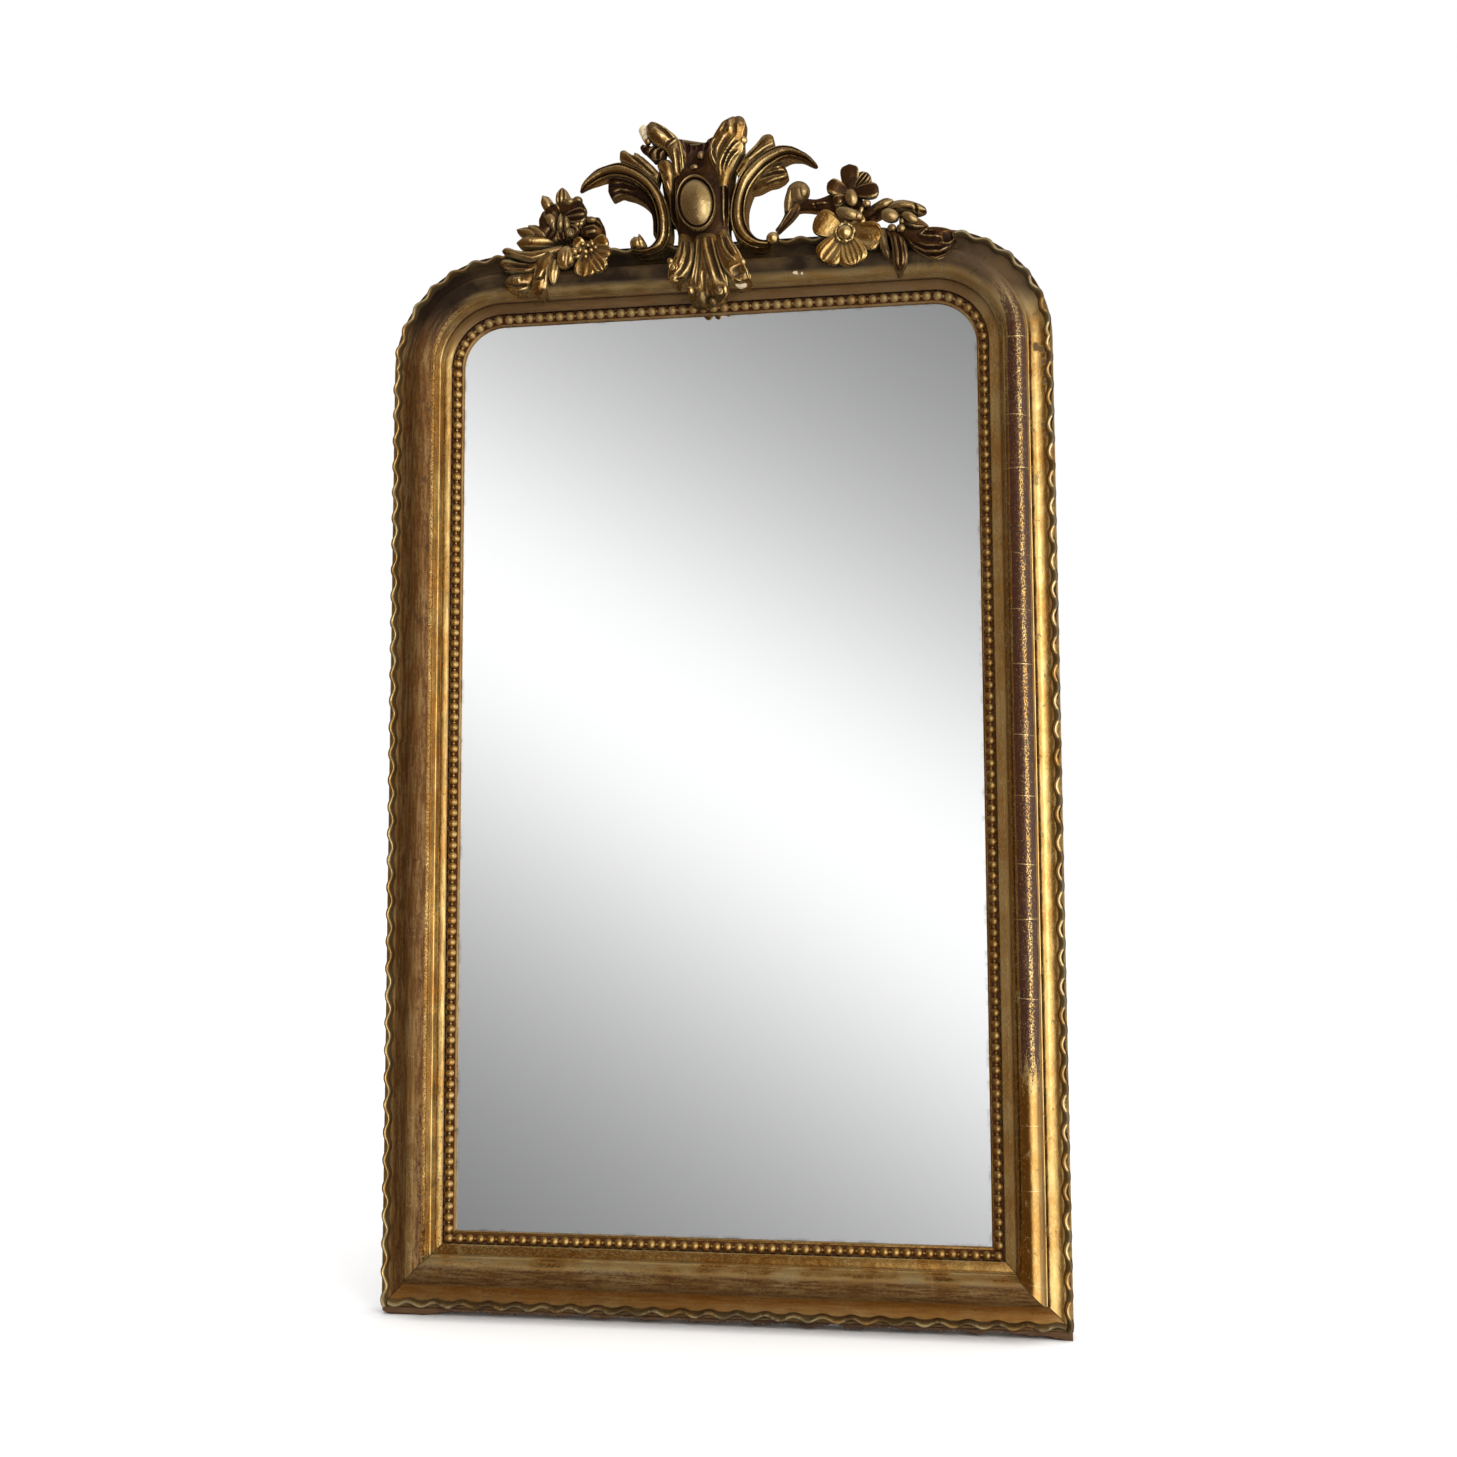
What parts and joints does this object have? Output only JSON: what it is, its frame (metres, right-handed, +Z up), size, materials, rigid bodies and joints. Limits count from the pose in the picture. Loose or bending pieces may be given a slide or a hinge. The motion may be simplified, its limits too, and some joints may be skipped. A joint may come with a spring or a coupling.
{
  "type": "trumeau mirror",
  "caption": "Tall gilt overmantel mirror with round top corners, beaded sight edge, wavy ribbon edge and a carved scroll and flower crest.",
  "frame": {"origin": "centre of the base strip's underside, on the plane the mirror stands on", "axes": "+Z up, +X to the viewer's right, the mirror faces -Y and its back is to +Y"},
  "size_m": [0.7686, 0.0793, 1.3634],
  "materials": {
    "gilt_moulding": "aged water gilding over gesso, worn to dark red bole on the high parts",
    "gilt_beads": "aged gilding, dark between the beads",
    "gilt_ribbon": "aged gilding, rubbed along the crown",
    "gilt_crest": "aged dark gilding, burnished on the high parts",
    "bare_wood": "raw aged softwood",
    "base_wood": "raw wood with remains of gesso",
    "silvered_glass": "silvered plate glass",
    "iron": "dark oxidised iron"
  },
  "bodies": {
    "mirror": {"moulding_bottom_rail": "gilt_moulding", "moulding_left_corner": "gilt_moulding", "moulding_left_stile": "gilt_moulding", "moulding_right_corner": "gilt_moulding", "moulding_right_stile": "gilt_moulding", "moulding_top_rail": "gilt_moulding", "beads_bottom": "gilt_beads", "beads_left": "gilt_beads", "beads_left_corner": "gilt_beads", "beads_right": "gilt_beads", "beads_right_corner": "gilt_beads", "beads_top": "gilt_beads", "ribbon_bottom": "gilt_ribbon", "ribbon_left": "gilt_ribbon", "ribbon_left_corner": "gilt_ribbon", "ribbon_right": "gilt_ribbon", "ribbon_right_corner": "gilt_ribbon", "ribbon_top": "gilt_ribbon", "carcass_bottom_rail": "bare_wood", "carcass_left_stile": "bare_wood", "carcass_right_stile": "bare_wood", "carcass_top_rail": "bare_wood", "base_strip": "base_wood", "mirror_glass": "silvered_glass", "glazing_wedge_left_lower": "bare_wood", "glazing_wedge_left_upper": "bare_wood", "glazing_wedge_right_lower": "bare_wood", "glazing_wedge_right_upper": "bare_wood", "backboard_left": "bare_wood", "backboard_middle": "bare_wood", "backboard_right": "bare_wood", "hanger_plate_left": "iron", "hanger_plate_right": "iron", "hanger_screw_left_lower": "iron", "hanger_screw_left_upper": "iron", "hanger_screw_right_lower": "iron", "hanger_screw_right_upper": "iron", "crest_batten": "bare_wood", "crest_screw_lower": "iron", "crest_screw_upper": "iron", "crest_cartouche": "gilt_crest", "cabochon": "gilt_crest", "acanthus_drop": "gilt_crest", "upper_leaf_left": "gilt_crest", "upper_leaf_right": "gilt_crest", "c_scroll_left": "gilt_crest", "c_scroll_right": "gilt_crest", "left_bud": "gilt_crest", "left_open_flower": "gilt_crest", "left_rose": "gilt_crest", "left_round_petal": "gilt_crest", "left_spray_leaves": "gilt_crest", "right_bud": "gilt_crest", "right_open_flower": "gilt_crest", "right_spray_leaves": "gilt_crest", "right_upper_flower": "gilt_crest"},
    "left_ring": {"hanging_ring_left": "iron"},
    "right_ring": {"hanging_ring_right": "iron"}
  },
  "joints": [
    {"name": "left_ring_hinge", "type": "hinge", "parent": "mirror", "child": "left_ring", "pos_m": [-0.345, 0.0198, 0.95], "axis": [1, 0, 0], "range_deg": [0, 180]},
    {"name": "right_ring_hinge", "type": "hinge", "parent": "mirror", "child": "right_ring", "pos_m": [0.345, 0.0198, 0.95], "axis": [1, 0, 0], "range_deg": [0, 180]}
  ]
}
